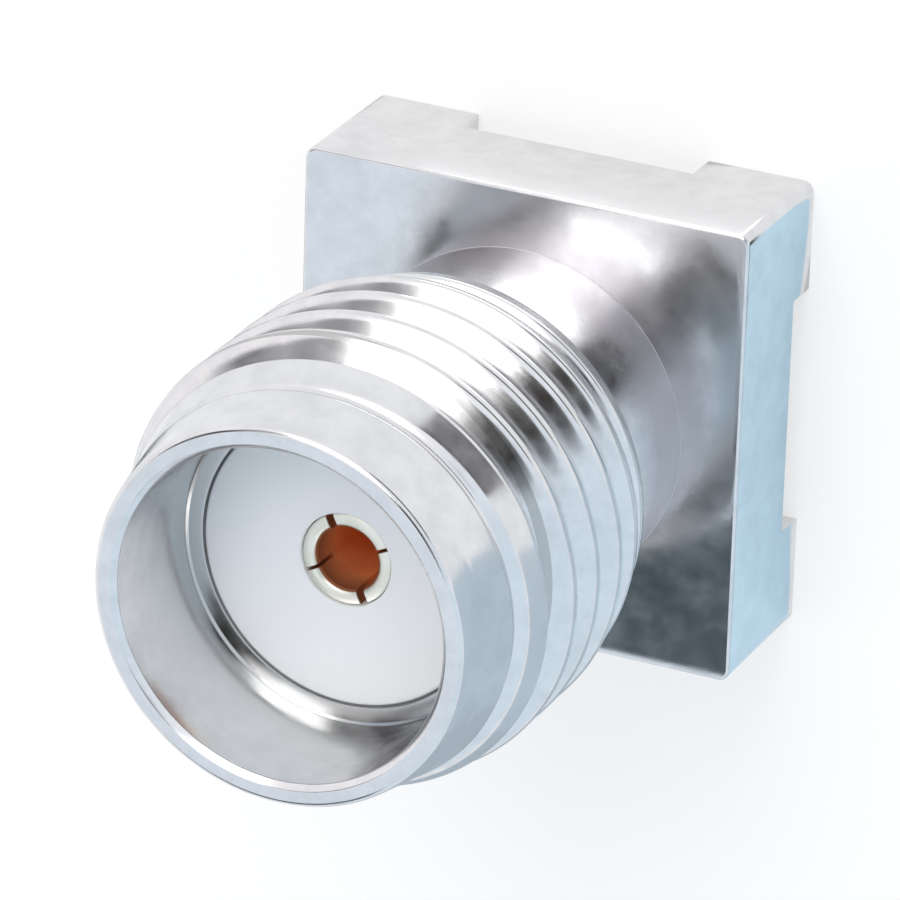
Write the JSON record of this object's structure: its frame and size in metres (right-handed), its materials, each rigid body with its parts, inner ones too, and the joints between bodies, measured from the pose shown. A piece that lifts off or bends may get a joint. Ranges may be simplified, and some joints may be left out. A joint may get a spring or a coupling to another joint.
{
  "type": "coaxial connector jack",
  "caption": "Board-mounted coaxial jack with a square footed flange, a plain neck, a barrel with an external thread, a white insulator and a slotted centre socket.",
  "frame": {"origin": "on the plane of the four feet's soldering faces, on the connector's axis", "axes": "+Z along the connector's axis, from the board towards the mating face; X and Y square to the flange's sides"},
  "size_m": [0.0066, 0.0066, 0.0094],
  "materials": {
    "plating": "bright silver-white plating over brass, with fine turning marks",
    "insulator": "matt white, slightly translucent fluoropolymer",
    "contact": "thin gold plating over a copper alloy"
  },
  "bodies": {
    "root": {"shell": "plating", "insulator": "insulator", "contact": "contact"}
  },
  "joints": []
}
